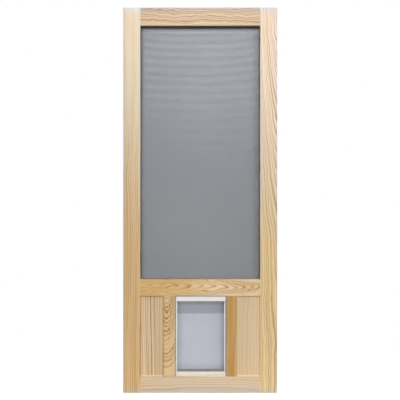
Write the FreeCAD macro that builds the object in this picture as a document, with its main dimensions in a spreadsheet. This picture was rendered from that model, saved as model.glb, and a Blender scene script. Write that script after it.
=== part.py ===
import FreeCAD, Part
import math
import os

import Sketcher

# A pine screen door leaf: stiles and rails joined by mortise and tenon, an insect screen held by
# spline in a rabbet on the back, and a lower bay of two flat panels, two mullions and a pet door.
# Millimetres. x runs from the hinge edge to the latch edge, y from the front to the back with zero
# in the middle of the thickness, and z up from the foot of the leaf.

DIMENSIONS = {
    # The leaf
    "door_width": "812.8",
    "door_height": "2032",
    "door_thickness": "28.6",
    "stile_width": "91",
    "top_rail_height": "96.5",
    "lock_rail_height": "87",
    "bottom_rail_height": "86.5",
    "lower_bay_height": "425",
    "edge_ease": "1.5",
    "sight_edge_radius": "4",
    # Mortise and tenon joints
    "tenon_thickness": "9.5",
    "tenon_length": "45",
    "tenon_shoulder": "16",
    "mortise_end_gap": "1",
    "stub_tenon_length": "12",
    "stub_tenon_shoulder": "14",
    # Screen, rabbet and spline
    "screen_setback": "22",
    "screen_rabbet_width": "12",
    "screen_cloth_thickness": "0.6",
    "screen_opening_size": "28.5",
    "screen_opening_pitch": "77",
    "spline_inset": "6",
    "spline_groove_width": "4",
    "spline_groove_depth": "4.4",
    "spline_clearance": "0.1",
    # Mullions and panels
    "hinge_mullion_width": "63.5",
    "latch_mullion_width": "57",
    "pet_bay_width": "270",
    "panel_thickness": "9.5",
    "panel_groove_depth": "10",
    "panel_edge_gap": "1",
    "panel_face_play": "0.1",
    # Pet door frame
    "pet_frame_depth": "20",
    "pet_jamb_thickness": "4",
    "pet_head_height": "27",
    "pet_sill_height": "15.5",
    "pet_sill_front_height": "10",
    "pet_sill_slope_run": "6",
    "pet_head_edge_radius": "3",
    "pet_jamb_edge_radius": "1",
    # Flap and pivot
    "pivot_drop": "11",
    "rod_radius": "2.5",
    "rod_seat_depth": "3",
    "rod_seat_clearance": "0.05",
    "rod_running_clearance": "0.08",
    "flap_sheet_thickness": "2.4",
    "flap_hem_height": "60",
    "flap_neck_drop": "14",
    "flap_side_clearance": "5",
    "flap_foot_clearance": "5",
    "weight_bar_width": "6.4",
    "weight_bar_height": "10",
    "weight_bar_floor": "3",
    "weight_bar_clearance": "0.1",
}

# Places and sizes that follow from the dimensions, as expressions on the sheet
BACK = "(sizes.door_thickness / 2)"
FRONT = "(-sizes.door_thickness / 2)"
INNER_WIDTH = "(sizes.door_width - 2 * sizes.stile_width)"
BAY_BASE = "sizes.bottom_rail_height"
BAY_TOP = "(sizes.bottom_rail_height + sizes.lower_bay_height)"
SCREEN_BASE = f"({BAY_TOP} + sizes.lock_rail_height)"
SCREEN_TOP = "(sizes.door_height - sizes.top_rail_height)"
SCREEN_HEIGHT = f"({SCREEN_TOP} - {SCREEN_BASE})"
SCREEN_SEAT = f"({FRONT} + sizes.screen_setback)"
SPLINE_RADIUS = "(sizes.spline_groove_width / 2 - sizes.spline_clearance)"
SPLINE_DEPTH = f"({SCREEN_SEAT} - sizes.spline_groove_depth + {SPLINE_RADIUS} + sizes.spline_clearance)"
MULLION_WIDTHS = "(sizes.hinge_mullion_width + sizes.latch_mullion_width)"
PANEL_WIDTH = f"(({INNER_WIDTH} - {MULLION_WIDTHS} - sizes.pet_bay_width) / 2)"
PANEL_GROOVE = "(sizes.panel_thickness + 2 * sizes.panel_face_play)"
PANEL_INLAY = "(sizes.panel_groove_depth - sizes.panel_edge_gap)"
HINGE_MULLION_LEFT = f"(sizes.stile_width + {PANEL_WIDTH})"
PET_BAY_LEFT = f"({HINGE_MULLION_LEFT} + sizes.hinge_mullion_width)"
LATCH_MULLION_LEFT = f"({PET_BAY_LEFT} + sizes.pet_bay_width)"
PET_CLEAR_LEFT = f"({PET_BAY_LEFT} + sizes.pet_jamb_thickness)"
PET_CLEAR_WIDTH = "(sizes.pet_bay_width - 2 * sizes.pet_jamb_thickness)"
PIVOT_HEIGHT = f"({BAY_TOP} - sizes.pet_head_height - sizes.pivot_drop)"
FLAP_LEFT = f"({PET_CLEAR_LEFT} + sizes.flap_side_clearance)"
FLAP_WIDTH = f"({PET_CLEAR_WIDTH} - 2 * sizes.flap_side_clearance)"
FLAP_FOOT = f"({BAY_BASE} + sizes.pet_sill_height + sizes.flap_foot_clearance)"
FLAP_DROP = f"({PIVOT_HEIGHT} - {FLAP_FOOT})"
FLAP_SHEET_DROP = f"({FLAP_DROP} - sizes.weight_bar_floor)"
FLAP_BORE = "(sizes.rod_radius + sizes.rod_running_clearance)"

doc = FreeCAD.newDocument("screen_door")
sheet = doc.addObject("Spreadsheet::Sheet", "sizes")
for row, (alias, value) in enumerate(DIMENSIONS.items(), start=1):
    sheet.set(f"A{row}", alias)
    sheet.set(f"B{row}", value)
    sheet.setAlias(f"B{row}", alias)
doc.recompute()

pieces = []


def value_of(expression):
    """The number that an expression on the sheet gives now."""
    return float(sheet.evalExpression(expression))


def bind(target, **expressions):
    """Ties properties to expressions; two underscores in a name stand for a dot."""
    for name, expression in expressions.items():
        target.setExpression(name.replace("__", "."), expression)


def place(piece, left="0", depth="0", height="0"):
    """Ties a piece's position in the leaf to expressions."""
    bind(piece, Placement__Base__x=left, Placement__Base__y=depth, Placement__Base__z=height)


def new_body(label, **position):
    """An empty body with its label and place."""
    body = doc.addObject("PartDesign::Body", label)
    body.Label = label
    place(body, **position)
    pieces.append(body)
    return body


def new_primitive(kind, label, sizes, **position):
    """A box or cylinder with its sizes and place tied to the sheet."""
    piece = doc.addObject(f"Part::{kind}", label)
    piece.Label = label
    bind(piece, **sizes)
    place(piece, **position)
    pieces.append(piece)
    return piece


def origin_feature(body, role):
    """One of the planes or axes through the body's own origin."""
    return next(feature for feature in body.Origin.OriginFeatures if feature.Role == role)


def new_sketch(body, name, role, start="0"):
    """A sketch on one of the body's origin planes, moved along the plane's normal to start."""
    sketch = body.newObject("Sketcher::SketchObject", name)
    sketch.AttachmentSupport = [(origin_feature(body, role), "")]
    sketch.MapMode = "FlatFace"
    bind(sketch, AttachmentOffset__Base__z=start)
    return sketch


def constrain(sketch, kind, *references, expression):
    """Adds a dimension to a sketch and ties it to an expression."""
    index = sketch.addConstraint(Sketcher.Constraint(kind, *references, value_of(expression)))
    sketch.setExpression(f"Constraints[{index}]", expression)


def pin(sketch, geometry, end, corner):
    """Holds one end of a line or arc at a corner given as two expressions."""
    for kind, expression in zip(("DistanceX", "DistanceY"), corner):
        constrain(sketch, kind, -1, 1, geometry, end, expression=expression)


def arc_between(start, end, centre):
    """The shorter arc between two points about a centre, and which of its ends come first and last."""
    radius = (start - centre).Length
    first = math.atan2(start.y - centre.y, start.x - centre.x)
    last = math.atan2(end.y - centre.y, end.x - centre.x)
    circle = Part.Circle(centre, FreeCAD.Vector(0, 0, 1), radius)
    if (last - first) % (2 * math.pi) < math.pi:
        return Part.ArcOfCircle(circle, first, last), (1, 2)
    return Part.ArcOfCircle(circle, last, first), (2, 1)


def draw_outline(sketch, corners, arcs=None):
    """Closes an outline through corners; arcs gives the centre and radius of the edges that are round."""
    arcs = arcs or {}
    points = [FreeCAD.Vector(value_of(across), value_of(up), 0) for across, up in corners]
    ends = []
    for index, start in enumerate(points):
        end = points[(index + 1) % len(points)]
        edge, order = Part.LineSegment(start, end), (1, 2)
        if index in arcs:
            centre = FreeCAD.Vector(*(value_of(part) for part in arcs[index][0]), 0)
            edge, order = arc_between(start, end, centre)
        sketch.addGeometry(edge)
        ends.append(order)
    for index, corner in enumerate(corners):
        before = (index - 1) % len(corners)
        sketch.addConstraint(
            Sketcher.Constraint("Coincident", before, ends[before][1], index, ends[index][0])
        )
        pin(sketch, index, ends[index][0], corner)
    for index, (_, radius) in arcs.items():
        constrain(sketch, "Radius", index, expression=radius)


def rectangle(left, right, low, high):
    """The corners of a rectangle, from expressions for its sides."""
    return [(left, low), (right, low), (right, high), (left, high)]


def pad(body, name, role, corners, length, start="0", arcs=None):
    """Adds the outline carried along the plane's normal."""
    sketch = new_sketch(body, f"{name}_outline", role, start)
    draw_outline(sketch, corners, arcs)
    feature = body.newObject("PartDesign::Pad", name)
    feature.Profile = sketch
    bind(feature, Length=length)
    return feature


def pocket(body, name, role, corners, length, start="0", arcs=None):
    """Cuts the outline carried along the plane's normal."""
    sketch = new_sketch(body, f"{name}_outline", role, start)
    draw_outline(sketch, corners, arcs)
    feature = body.newObject("PartDesign::Pocket", name)
    feature.Profile = sketch
    feature.Reversed = True
    bind(feature, Length=length)
    return feature


def bore(body, name, role, centre, radius, length, start="0"):
    """Cuts a round hole about a centre given as two expressions."""
    sketch = new_sketch(body, f"{name}_outline", role, start)
    middle = FreeCAD.Vector(*(value_of(part) for part in centre), 0)
    sketch.addGeometry(Part.Circle(middle, FreeCAD.Vector(0, 0, 1), value_of(radius)))
    pin(sketch, 0, 3, centre)
    constrain(sketch, "Radius", 0, expression=radius)
    feature = body.newObject("PartDesign::Pocket", name)
    feature.Profile = sketch
    feature.Reversed = True
    bind(feature, Length=length)
    return feature


def ease(body, name, radius, chosen):
    """Rounds the edges of the body whose middle and direction the chosen test accepts."""
    doc.recompute()
    base = body.Tip
    names = []
    for index, edge in enumerate(base.Shape.Edges, start=1):
        if not isinstance(edge.Curve, Part.Line):
            continue
        middle = edge.valueAt((edge.FirstParameter + edge.LastParameter) / 2)
        if chosen(middle, edge.tangentAt(edge.FirstParameter)):
            names.append(f"Edge{index}")
    feature = body.newObject("PartDesign::Fillet", name)
    feature.Base = (base, names)
    bind(feature, Radius=radius)
    return feature


def near(number, expression):
    """Whether a coordinate lies on the place that an expression gives."""
    return abs(number - value_of(expression)) < 1e-4


def quarter_round(corner, inward, upward, radius):
    """The outline and arc of the corner that rounding an edge takes away."""
    across, up = corner
    side = (f"({across} + {inward} * {radius})", up)
    above = (across, f"({up} + {upward} * {radius})")
    return [corner, side, above], {1: ((side[0], above[1]), radius)}


def make_stile(label, position, inward):
    """A full-height stile. inward is 1 where its inner edge lies towards +x and -1 where towards -x."""

    def across(from_outer_edge):
        return f"({inward} * ({from_outer_edge}))"

    body = new_body(label, left=position)
    inner = across("sizes.stile_width")

    def cut(name, from_edge, to_edge, front, back, low, high):
        corners = rectangle(across(from_edge), across(to_edge), front, back)
        pocket(body, name, "XY_Plane", corners, f"({high}) - ({low})", low)

    pad(body, "board", "XY_Plane", rectangle("0", inner, FRONT, BACK), "sizes.door_height")
    ease(body, "eased_edges", "sizes.edge_ease", lambda mid, way: near(mid.x, "0") and abs(way.z) > 0.5)

    rabbet_edge = "sizes.stile_width - sizes.screen_rabbet_width"
    cut(
        "screen_rabbet", rabbet_edge, "sizes.stile_width", SCREEN_SEAT, BACK,
        f"{SCREEN_BASE} - sizes.screen_rabbet_width", f"{SCREEN_TOP} + sizes.screen_rabbet_width",
    )
    groove_floor = f"({SCREEN_SEAT} - sizes.spline_groove_depth)"
    groove_line = "sizes.stile_width - sizes.spline_inset"
    half_groove = "sizes.spline_groove_width / 2"
    groove_low = f"{SCREEN_BASE} - sizes.spline_inset - {half_groove}"
    groove_high = f"{SCREEN_TOP} + sizes.spline_inset + {half_groove}"
    cut(
        "spline_groove", f"{groove_line} - {half_groove}", f"{groove_line} + {half_groove}",
        groove_floor, SCREEN_SEAT, groove_low, groove_high,
    )
    corner_runs = {
        "lower": (groove_low, f"{groove_low} + sizes.spline_groove_width"),
        "upper": (f"{groove_high} - sizes.spline_groove_width", groove_high),
    }
    for end, (low, high) in corner_runs.items():
        cut(f"{end}_spline_corner", groove_line, "sizes.stile_width", groove_floor, SCREEN_SEAT, low, high)

    cut(
        "panel_groove", "sizes.stile_width - sizes.panel_groove_depth", "sizes.stile_width",
        f"-{PANEL_GROOVE} / 2", f"{PANEL_GROOVE} / 2",
        f"{BAY_BASE} - sizes.panel_groove_depth", f"{BAY_TOP} + sizes.panel_groove_depth",
    )
    rail_spans = {
        "bottom": ("0", BAY_BASE),
        "lock": (BAY_TOP, SCREEN_BASE),
        "top": (SCREEN_TOP, "sizes.door_height"),
    }
    for rail, (low, high) in rail_spans.items():
        cut(
            f"{rail}_mortise", "sizes.stile_width - sizes.tenon_length - sizes.mortise_end_gap",
            "sizes.stile_width", "-sizes.tenon_thickness / 2", "sizes.tenon_thickness / 2",
            f"{low} + sizes.tenon_shoulder", f"{high} - sizes.tenon_shoulder",
        )
    corners, arcs = quarter_round((inner, FRONT), -inward, 1, "sizes.sight_edge_radius")
    pocket(body, "sight_edge", "XY_Plane", corners, SCREEN_HEIGHT, SCREEN_BASE, arcs)


def start_rail(label, base, height):
    """A rail between the stiles with a tenon on each end; its own x is zero at the hinge side shoulder."""
    body = new_body(label, left="sizes.stile_width", height=base)
    pad(body, "board", "YZ_Plane", rectangle(FRONT, BACK, "0", height), INNER_WIDTH)
    pad(
        body, "tenons", "YZ_Plane",
        rectangle(
            "-sizes.tenon_thickness / 2", "sizes.tenon_thickness / 2",
            "sizes.tenon_shoulder", f"{height} - sizes.tenon_shoulder",
        ),
        f"{INNER_WIDTH} + 2 * sizes.tenon_length", "-sizes.tenon_length",
    )
    return body


def seat_screen(body, edge, outward):
    """Rabbets a rail's back edge for the screen. outward is -1 where the screen lies below the rail."""

    def level(from_edge):
        return f"({edge} - {outward} * ({from_edge}))"

    def cut(name, from_edge, to_edge, front, back):
        corners = rectangle(front, back, level(from_edge), level(to_edge))
        pocket(body, name, "YZ_Plane", corners, INNER_WIDTH)

    cut("screen_rabbet", "0", "sizes.screen_rabbet_width", SCREEN_SEAT, BACK)
    half_groove = "sizes.spline_groove_width / 2"
    cut(
        "spline_groove", f"sizes.spline_inset - {half_groove}", f"sizes.spline_inset + {half_groove}",
        f"({SCREEN_SEAT} - sizes.spline_groove_depth)", SCREEN_SEAT,
    )
    corners, arcs = quarter_round((FRONT, edge), 1, -outward, "sizes.sight_edge_radius")
    pocket(body, "sight_edge", "YZ_Plane", corners, INNER_WIDTH, arcs=arcs)


def seat_lower_bay(body, edge, outward):
    """Grooves a rail for panels and mortises it for mullions. outward is -1 where the bay lies below."""

    def level(from_edge):
        return f"({edge} - {outward} * ({from_edge}))"

    def cut(name, left, right, depth, thickness):
        corners = rectangle(f"-{thickness} / 2", f"{thickness} / 2", level("0"), level(depth))
        pocket(body, name, "YZ_Plane", corners, f"({right}) - ({left})", left)

    panel_run = f"({PANEL_WIDTH} + sizes.panel_groove_depth)"
    cut("hinge_side_groove", "0", panel_run, "sizes.panel_groove_depth", PANEL_GROOVE)
    cut(
        "latch_side_groove", f"{INNER_WIDTH} - {panel_run}", INNER_WIDTH,
        "sizes.panel_groove_depth", PANEL_GROOVE,
    )
    mullions = {
        "hinge": (HINGE_MULLION_LEFT, "sizes.hinge_mullion_width"),
        "latch": (LATCH_MULLION_LEFT, "sizes.latch_mullion_width"),
    }
    for side, (left, width) in mullions.items():
        from_shoulder = f"{left} - sizes.stile_width"
        cut(
            f"{side}_mullion_mortise", f"{from_shoulder} + sizes.stub_tenon_shoulder",
            f"{from_shoulder} + {width} - sizes.stub_tenon_shoulder",
            "sizes.stub_tenon_length + sizes.mortise_end_gap", "sizes.tenon_thickness",
        )


def make_mullion(label, left, width, groove_left, groove_right):
    """A short upright with a stub tenon at each end and a groove for the panel beside it."""
    body = new_body(label, left=left, height=BAY_BASE)
    pad(body, "board", "XY_Plane", rectangle("0", width, FRONT, BACK), "sizes.lower_bay_height")
    pad(
        body, "stub_tenons", "XY_Plane",
        rectangle(
            "sizes.stub_tenon_shoulder", f"{width} - sizes.stub_tenon_shoulder",
            "-sizes.tenon_thickness / 2", "sizes.tenon_thickness / 2",
        ),
        "sizes.lower_bay_height + 2 * sizes.stub_tenon_length", "-sizes.stub_tenon_length",
    )
    pocket(
        body, "panel_groove", "XY_Plane",
        rectangle(groove_left, groove_right, f"-{PANEL_GROOVE} / 2", f"{PANEL_GROOVE} / 2"),
        "sizes.lower_bay_height",
    )


def make_panel(label, left):
    """A flat panel whose edges stand in the grooves round it."""
    new_primitive(
        "Box", label,
        {
            "Length": f"{PANEL_WIDTH} + 2 * {PANEL_INLAY}",
            "Width": "sizes.panel_thickness",
            "Height": f"sizes.lower_bay_height + 2 * {PANEL_INLAY}",
        },
        left=f"{left} - {PANEL_INLAY}",
        depth="-sizes.panel_thickness / 2",
        height=f"{BAY_BASE} - {PANEL_INLAY}",
    )


def make_screen():
    """The screen cloth, lying on the rabbet as far as the near wall of the spline groove.

    A plain grid of square openings, centred in the frame, stands for the much finer weave.
    """
    overlap = "(sizes.spline_inset - sizes.spline_groove_width / 2)"
    cloth = "sizes.screen_cloth_thickness"
    body = new_body("insect_screen", left="sizes.stile_width", depth=SCREEN_SEAT, height=SCREEN_BASE)
    pad(
        body, "cloth", "XZ_Plane",
        rectangle(
            f"-{overlap}", f"{INNER_WIDTH} + {overlap}", f"-{overlap}", f"{SCREEN_HEIGHT} + {overlap}",
        ),
        cloth, f"-{cloth}",
    )
    columns = f"floor({INNER_WIDTH} / sizes.screen_opening_pitch)"
    rows = f"floor({SCREEN_HEIGHT} / sizes.screen_opening_pitch)"
    reach_across = f"(({columns} - 1) * sizes.screen_opening_pitch)"
    reach_up = f"(({rows} - 1) * sizes.screen_opening_pitch)"
    left = f"(({INNER_WIDTH} - {reach_across} - sizes.screen_opening_size) / 2)"
    low = f"(({SCREEN_HEIGHT} - {reach_up} - sizes.screen_opening_size) / 2)"
    opening = pocket(
        body, "opening", "XZ_Plane",
        rectangle(left, f"{left} + sizes.screen_opening_size", low, f"{low} + sizes.screen_opening_size"),
        cloth, f"-{cloth}",
    )
    pattern = body.newObject("PartDesign::LinearPattern", "openings")
    pattern.Originals = [opening]
    pattern.Direction = (origin_feature(body, "X_Axis"), [""])
    pattern.Direction2 = (origin_feature(body, "Z_Axis"), [""])
    bind(pattern, Length=reach_across, Occurrences=columns, Length2=reach_up, Occurrences2=rows)
    body.Tip = pattern


def make_splines():
    """Four lengths of round spline in the grooves; the level ones end at the upright ones."""
    low = f"({SCREEN_BASE} - sizes.spline_inset)"
    high = f"({SCREEN_TOP} + sizes.spline_inset)"
    uprights = {
        "screen_spline_hinge_side": "sizes.stile_width - sizes.spline_inset",
        "screen_spline_latch_side": "sizes.door_width - sizes.stile_width + sizes.spline_inset",
    }
    for label, left in uprights.items():
        new_primitive(
            "Cylinder", label,
            {"Radius": SPLINE_RADIUS, "Height": f"{high} - {low} + 2 * {SPLINE_RADIUS}"},
            left=left, depth=SPLINE_DEPTH, height=f"{low} - {SPLINE_RADIUS}",
        )
    end_room = f"({SPLINE_RADIUS} + sizes.spline_clearance)"
    for label, level in {"screen_spline_bottom": low, "screen_spline_top": high}.items():
        spline = new_primitive(
            "Cylinder", label,
            {"Radius": SPLINE_RADIUS, "Height": f"{INNER_WIDTH} + 2 * (sizes.spline_inset - {end_room})"},
            left=f"sizes.stile_width - sizes.spline_inset + {end_room}", depth=SPLINE_DEPTH, height=level,
        )
        spline.Placement.Rotation = FreeCAD.Rotation(FreeCAD.Vector(0, 1, 0), 90)


def make_pet_frame():
    """The frame in the pet bay: two jambs as tall as the bay, with the head and sill between them."""
    front, back = "(-sizes.pet_frame_depth / 2)", "(sizes.pet_frame_depth / 2)"
    head = new_body("pet_frame_head", left=PET_CLEAR_LEFT, height=f"{BAY_TOP} - sizes.pet_head_height")
    pad(head, "bar", "YZ_Plane", rectangle(front, back, "0", "sizes.pet_head_height"), PET_CLEAR_WIDTH)
    ease(head, "eased_edges", "sizes.pet_head_edge_radius", lambda mid, way: abs(way.x) > 0.5)

    sill = new_body("pet_frame_sill", left=PET_CLEAR_LEFT, height=BAY_BASE)
    top_front = f"({front} + sizes.pet_sill_slope_run)"
    top_back = f"({back} - sizes.pet_sill_slope_run)"
    profile = [
        (front, "0"),
        (back, "0"),
        (back, "sizes.pet_sill_front_height"),
        (top_back, "sizes.pet_sill_height"),
        (top_front, "sizes.pet_sill_height"),
        (front, "sizes.pet_sill_front_height"),
    ]
    pad(sill, "bar", "YZ_Plane", profile, PET_CLEAR_WIDTH)

    pivot_level = f"({PIVOT_HEIGHT} - {BAY_BASE})"
    jambs = {
        "pet_frame_hinge_jamb": (PET_BAY_LEFT, "sizes.pet_jamb_thickness - sizes.rod_seat_depth"),
        "pet_frame_latch_jamb": (f"{PET_CLEAR_LEFT} + {PET_CLEAR_WIDTH}", "0"),
    }
    for label, (left, seat_start) in jambs.items():
        jamb = new_body(label, left=left, height=BAY_BASE)
        pad(
            jamb, "strip", "XY_Plane",
            rectangle("0", "sizes.pet_jamb_thickness", front, back), "sizes.lower_bay_height",
        )
        bore(
            jamb, "rod_seat", "YZ_Plane", ("0", pivot_level),
            "(sizes.rod_radius + sizes.rod_seat_clearance)", "sizes.rod_seat_depth", seat_start,
        )
        ease(jamb, "eased_edges", "sizes.pet_jamb_edge_radius", lambda mid, way: abs(way.z) > 0.5)


def make_pivot_rod():
    """The rod that carries the flap, seated in both jambs."""
    seated = "(sizes.rod_seat_depth - sizes.rod_seat_clearance)"
    rod = new_primitive(
        "Cylinder", "flap_pivot_rod",
        {"Radius": "sizes.rod_radius", "Height": f"{PET_CLEAR_WIDTH} + 2 * {seated}"},
        left=f"{PET_CLEAR_LEFT} - {seated}", height=PIVOT_HEIGHT,
    )
    rod.Placement.Rotation = FreeCAD.Rotation(FreeCAD.Vector(0, 1, 0), 90)


def make_flap():
    """The flap: one sheet rolled over the rod and doubled behind itself as a hem.

    In the section the outside of the roll is an arc about the rod, and two lines leave it as tangents:
    the front one runs into the sheet's face and the back one into the face of the doubled hem. The
    sheet's foot stands in the weight bar.
    """
    body = new_body("pet_flap", left=FLAP_LEFT, height=PIVOT_HEIGHT)
    sketch = new_sketch(body, "rolled_section", "YZ_Plane")
    sheet_face = "(sizes.flap_sheet_thickness / 2)"
    hem_face = "(sizes.flap_sheet_thickness * 3 / 2)"
    roll_radius = f"({FLAP_BORE} + sizes.flap_sheet_thickness)"
    run = [
        (f"-{sheet_face}", "-sizes.flap_neck_drop"),
        (f"-{sheet_face}", f"-{FLAP_SHEET_DROP}"),
        (sheet_face, f"-{FLAP_SHEET_DROP}"),
        (sheet_face, "-sizes.flap_hem_height"),
        (hem_face, "-sizes.flap_hem_height"),
        (hem_face, "-sizes.flap_neck_drop"),
    ]
    radius = value_of(roll_radius)
    points = [FreeCAD.Vector(value_of(across), value_of(up), 0) for across, up in run]
    front_tangent = FreeCAD.Vector(-radius, 0, 0)
    back_tangent = FreeCAD.Vector(radius, 0, 0)
    chain = [front_tangent, *points, back_tangent]
    for start, end in zip(chain, chain[1:]):
        sketch.addGeometry(Part.LineSegment(start, end))
    roll = len(chain) - 1
    upright = FreeCAD.Vector(0, 0, 1)
    sketch.addGeometry(Part.ArcOfCircle(Part.Circle(FreeCAD.Vector(), upright, radius), 0, math.pi))
    for index, corner in enumerate(run, start=1):
        sketch.addConstraint(Sketcher.Constraint("Coincident", index - 1, 2, index, 1))
        pin(sketch, index, 1, corner)
    sketch.addConstraint(Sketcher.Constraint("Coincident", roll, 3, -1, 1))
    constrain(sketch, "Radius", roll, expression=roll_radius)
    sketch.addConstraint(Sketcher.Constraint("Tangent", 0, 1, roll, 2))
    sketch.addConstraint(Sketcher.Constraint("Tangent", roll - 1, 2, roll, 1))
    feature = body.newObject("PartDesign::Pad", "sheet")
    feature.Profile = sketch
    bind(feature, Length=FLAP_WIDTH)
    bore(body, "rod_bore", "YZ_Plane", ("0", "0"), FLAP_BORE, FLAP_WIDTH)


def make_weight_bar():
    """The channel along the flap's foot, with the sheet standing in its slot."""
    body = new_body("flap_weight_bar", left=FLAP_LEFT, height=FLAP_FOOT)
    half = "sizes.weight_bar_width / 2"
    pad(body, "bar", "YZ_Plane", rectangle(f"-{half}", half, "0", "sizes.weight_bar_height"), FLAP_WIDTH)
    slot = "(sizes.flap_sheet_thickness / 2 + sizes.weight_bar_clearance)"
    pocket(
        body, "slot", "YZ_Plane",
        rectangle(f"-{slot}", slot, "sizes.weight_bar_floor", "sizes.weight_bar_height"), FLAP_WIDTH,
    )


def check_model():
    """Stops before writing if a feature failed, a cut took nothing away or a piece isn't one solid."""
    for item in doc.Objects:
        if "Invalid" in item.State or "Error" in item.State:
            raise RuntimeError(f"{item.Name} failed: {item.State}")
        if item.TypeId == "PartDesign::Pocket" and item.BaseFeature.Shape.Volume - item.Shape.Volume < 1e-3:
            raise RuntimeError(f"{item.Name} cuts nothing")
    for piece in pieces:
        if piece.Shape.isNull() or not piece.Shape.isValid() or len(piece.Shape.Solids) != 1:
            raise RuntimeError(f"{piece.Label} is not one valid solid")


make_stile("hinge_stile", "0", 1)
make_stile("latch_stile", "sizes.door_width", -1)
top_rail = start_rail("top_rail", SCREEN_TOP, "sizes.top_rail_height")
seat_screen(top_rail, "0", -1)
lock_rail = start_rail("lock_rail", BAY_TOP, "sizes.lock_rail_height")
seat_screen(lock_rail, "sizes.lock_rail_height", 1)
seat_lower_bay(lock_rail, "0", -1)
bottom_rail = start_rail("bottom_rail", "0", "sizes.bottom_rail_height")
seat_lower_bay(bottom_rail, "sizes.bottom_rail_height", 1)
make_mullion(
    "hinge_side_mullion", HINGE_MULLION_LEFT, "sizes.hinge_mullion_width",
    "0", "sizes.panel_groove_depth",
)
make_mullion(
    "latch_side_mullion", LATCH_MULLION_LEFT, "sizes.latch_mullion_width",
    "sizes.latch_mullion_width - sizes.panel_groove_depth", "sizes.latch_mullion_width",
)
make_panel("hinge_side_panel", "sizes.stile_width")
make_panel("latch_side_panel", f"{LATCH_MULLION_LEFT} + sizes.latch_mullion_width")
make_splines()
make_pet_frame()
make_pivot_rod()
make_flap()
make_weight_bar()
make_screen()
doc.recompute()
check_model()

os.makedirs("parts", exist_ok=True)
for piece in pieces:
    piece.Shape.exportStep(f"parts/{piece.Label}.step")
    box = piece.Shape.BoundBox
    size = " x ".join(f"{length:.1f}" for length in (box.XLength, box.YLength, box.ZLength))
    print(f"{piece.Label}: {piece.Shape.Volume:.0f} mm3, {size} mm")
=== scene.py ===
"""Dresses a pine screen door with a pet flap: bare wood, woven screen cloth, white frame and grey vinyl."""

import logging
import math
from dataclasses import dataclass, field
from enum import Enum, IntEnum
from typing import Any

import bpy
import numpy as np
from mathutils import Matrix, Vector


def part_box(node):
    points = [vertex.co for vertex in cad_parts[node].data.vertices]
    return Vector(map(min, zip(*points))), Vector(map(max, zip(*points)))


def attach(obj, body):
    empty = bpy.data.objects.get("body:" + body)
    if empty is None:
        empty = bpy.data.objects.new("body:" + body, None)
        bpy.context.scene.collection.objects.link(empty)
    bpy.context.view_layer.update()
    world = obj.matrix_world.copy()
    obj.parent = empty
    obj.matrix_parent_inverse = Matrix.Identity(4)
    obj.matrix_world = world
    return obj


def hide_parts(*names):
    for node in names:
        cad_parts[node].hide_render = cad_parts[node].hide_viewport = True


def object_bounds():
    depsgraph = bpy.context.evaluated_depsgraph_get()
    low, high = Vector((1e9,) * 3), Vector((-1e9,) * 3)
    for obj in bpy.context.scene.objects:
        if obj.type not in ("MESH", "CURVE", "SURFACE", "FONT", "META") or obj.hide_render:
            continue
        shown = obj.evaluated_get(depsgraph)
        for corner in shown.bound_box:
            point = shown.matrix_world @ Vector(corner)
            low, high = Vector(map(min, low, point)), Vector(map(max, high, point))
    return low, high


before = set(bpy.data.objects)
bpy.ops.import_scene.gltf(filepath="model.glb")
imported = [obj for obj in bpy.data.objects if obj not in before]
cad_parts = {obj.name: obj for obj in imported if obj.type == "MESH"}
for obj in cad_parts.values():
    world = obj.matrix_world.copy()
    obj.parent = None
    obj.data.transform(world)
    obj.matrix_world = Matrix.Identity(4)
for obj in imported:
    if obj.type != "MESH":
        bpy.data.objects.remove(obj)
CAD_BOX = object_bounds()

log = logging.getLogger("screen_door")

MILLIMETRE = 0.001
DOOR_BODY = "door"
FLAP_BODY = "flap"
NOISE_MEAN = 0.5

Colour = tuple[float, float, float]
Point = tuple[float, float, float]
Span = tuple[float, float]

WHITE: Colour = (1.0, 1.0, 1.0)


class Axis(IntEnum):
    """The door's directions: from the hinge edge to the latch edge, from front to back, and up."""

    ACROSS = 0
    BACK = 1
    UP = 2


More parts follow.
